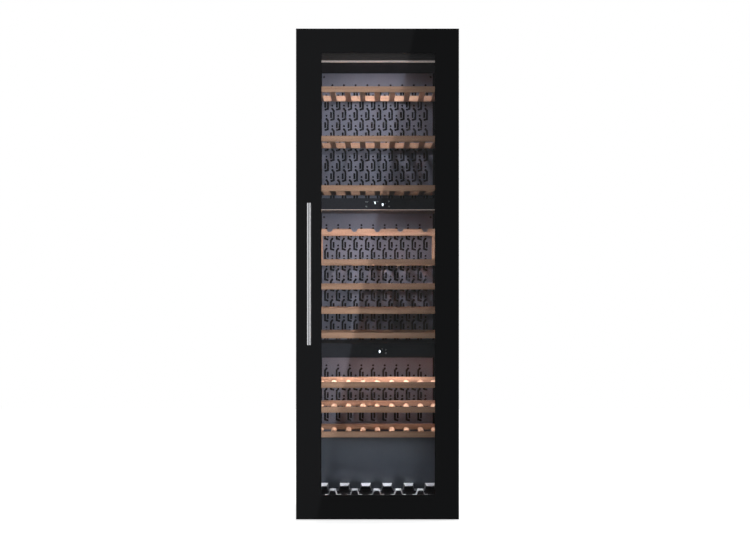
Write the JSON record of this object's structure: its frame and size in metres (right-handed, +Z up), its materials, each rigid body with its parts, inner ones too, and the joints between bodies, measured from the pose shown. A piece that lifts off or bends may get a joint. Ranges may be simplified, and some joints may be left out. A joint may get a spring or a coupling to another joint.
{
  "type": "wine cooler",
  "caption": "Full-height built-in wine cooler with three climate zones, sliding wooden shelves, a floor rack and a black-bordered glass door with a round handle.",
  "frame": {"origin": "centre of the overall box on the floor, under the feet", "axes": "+Z up, the door faces -Y, +X to the right of someone facing the door"},
  "size_m": [0.595, 0.615, 1.795],
  "materials": {
    "casing_grey": "fine satin powder coat",
    "liner_black": "fine-textured dark moulding",
    "frame_black": "satin black",
    "panel_grey": "satin grey sheet",
    "step_grey": "satin blue-grey sheet",
    "polished_steel": "polished",
    "zinc_steel": "zinc plated",
    "beech": "oiled, fine straight grain",
    "door_glass": "polished, lightly tinted",
    "inner_glass": "polished, clear",
    "border_black": "glossy print under glass",
    "fascia_black": "high gloss",
    "gasket_rubber": "soft matt",
    "foot_rubber": "matt",
    "foam": "rigid foam",
    "lamp_diffuser": "frosted diffuser",
    "fin_aluminium": "bare fins",
    "fan_plastic": "moulded",
    "compressor_black": "black enamel",
    "bush_plastic": "low-friction plastic",
    "socket_black": "moulded"
  },
  "bodies": {
    "cabinet": {"side_panels": "casing_grey", "top_panel": "casing_grey", "rear_panel": "casing_grey", "base_tray": "casing_grey", "insulation_foam": "foam", "inner_liner": "liner_black", "front_frame": "frame_black", "ceiling_cover": "liner_black", "upper_back_panel": "panel_grey", "middle_back_panel": "panel_grey", "lower_back_panel": "panel_grey", "back_panel_screws": "zinc_steel", "zone_dividers": "liner_black", "control_fascias": "fascia_black", "light_bars": "lamp_diffuser", "step_cover": "step_grey", "evaporators": "fin_aluminium", "fan_housings": "fan_plastic", "compressor": "compressor_black", "condenser": "fin_aluminium", "condenser_fan_mount": "fan_plastic", "bottle_rack": "polished_steel", "cabinet_runners": "zinc_steel", "hinge_brackets": "zinc_steel", "levelling_feet": "foot_rubber", "power_inlet": "socket_black"},
    "door": {"door_outer_glass": "door_glass", "door_border_print": "border_black", "door_frame": "frame_black", "glass_spacer": "frame_black", "door_inner_glass": "inner_glass", "door_gasket": "gasket_rubber", "handle_bar": "polished_steel", "handle_posts": "polished_steel", "hinge_bushes": "bush_plastic"},
    "upper_fan_rotor": {"upper_fan": "fan_plastic"},
    "middle_fan_rotor": {"middle_fan": "fan_plastic"},
    "lower_fan_rotor": {"lower_fan": "fan_plastic"},
    "condenser_fan_rotor": {"condenser_fan": "fan_plastic"},
    "upper_shelf_1_body": {"upper_shelf_1": "beech", "upper_slides_1": "zinc_steel"},
    "upper_shelf_2_body": {"upper_shelf_2": "beech", "upper_slides_2": "zinc_steel"},
    "upper_shelf_3_body": {"upper_shelf_3": "beech", "upper_slides_3": "zinc_steel"},
    "middle_shelf_1_body": {"middle_shelf_1": "beech", "middle_slides_1": "zinc_steel"},
    "middle_shelf_2_body": {"middle_shelf_2": "beech", "middle_slides_2": "zinc_steel"},
    "middle_shelf_3_body": {"middle_shelf_3": "beech", "middle_slides_3": "zinc_steel"},
    "middle_shelf_4_body": {"middle_shelf_4": "beech", "middle_slides_4": "zinc_steel", "display_riser": "beech"},
    "lower_shelf_1_body": {"lower_shelf_1": "beech", "lower_slides_1": "zinc_steel"},
    "lower_shelf_2_body": {"lower_shelf_2": "beech", "lower_slides_2": "zinc_steel"},
    "lower_shelf_3_body": {"lower_shelf_3": "beech", "lower_slides_3": "zinc_steel"}
  },
  "joints": [
    {"name": "door_hinge", "type": "hinge", "parent": "cabinet", "child": "door", "pos_m": [0.2855, -0.2435, 0.899], "axis": [0, 0, 1], "range_deg": [0, 105]},
    {"name": "upper_shelf_1_slide", "type": "slide", "parent": "cabinet", "child": "upper_shelf_1_body", "axis": [0, -1, 0], "range_m": [0, 0.027]},
    {"name": "upper_shelf_2_slide", "type": "slide", "parent": "cabinet", "child": "upper_shelf_2_body", "axis": [0, -1, 0], "range_m": [0, 0.027]},
    {"name": "upper_shelf_3_slide", "type": "slide", "parent": "cabinet", "child": "upper_shelf_3_body", "axis": [0, -1, 0], "range_m": [0, 0.027]},
    {"name": "middle_shelf_1_slide", "type": "slide", "parent": "cabinet", "child": "middle_shelf_1_body", "axis": [0, -1, 0], "range_m": [0, 0.027]},
    {"name": "middle_shelf_2_slide", "type": "slide", "parent": "cabinet", "child": "middle_shelf_2_body", "axis": [0, -1, 0], "range_m": [0, 0.027]},
    {"name": "middle_shelf_3_slide", "type": "slide", "parent": "cabinet", "child": "middle_shelf_3_body", "axis": [0, -1, 0], "range_m": [0, 0.027]},
    {"name": "middle_shelf_4_slide", "type": "slide", "parent": "cabinet", "child": "middle_shelf_4_body", "axis": [0, -1, 0], "range_m": [0, 0.027]},
    {"name": "lower_shelf_1_slide", "type": "slide", "parent": "cabinet", "child": "lower_shelf_1_body", "axis": [0, -1, 0], "range_m": [0, 0.027]},
    {"name": "lower_shelf_2_slide", "type": "slide", "parent": "cabinet", "child": "lower_shelf_2_body", "axis": [0, -1, 0], "range_m": [0, 0.027]},
    {"name": "lower_shelf_3_slide", "type": "slide", "parent": "cabinet", "child": "lower_shelf_3_body", "axis": [0, -1, 0], "range_m": [0, 0.027]},
    {"name": "upper_fan_spin", "type": "hinge", "parent": "cabinet", "child": "upper_fan_rotor", "pos_m": [0.15, 0.2335, 1.4286], "axis": [0, 1, 0], "continuous": true},
    {"name": "middle_fan_spin", "type": "hinge", "parent": "cabinet", "child": "middle_fan_rotor", "pos_m": [0.15, 0.2335, 0.88975], "axis": [0, 1, 0], "continuous": true},
    {"name": "lower_fan_spin", "type": "hinge", "parent": "cabinet", "child": "lower_fan_rotor", "pos_m": [0.15, 0.2335, 0.4385], "axis": [0, 1, 0], "continuous": true},
    {"name": "condenser_fan_spin", "type": "hinge", "parent": "cabinet", "child": "condenser_fan_rotor", "pos_m": [0.161, 0.221, 0.118], "axis": [1, 0, 0], "continuous": true}
  ]
}
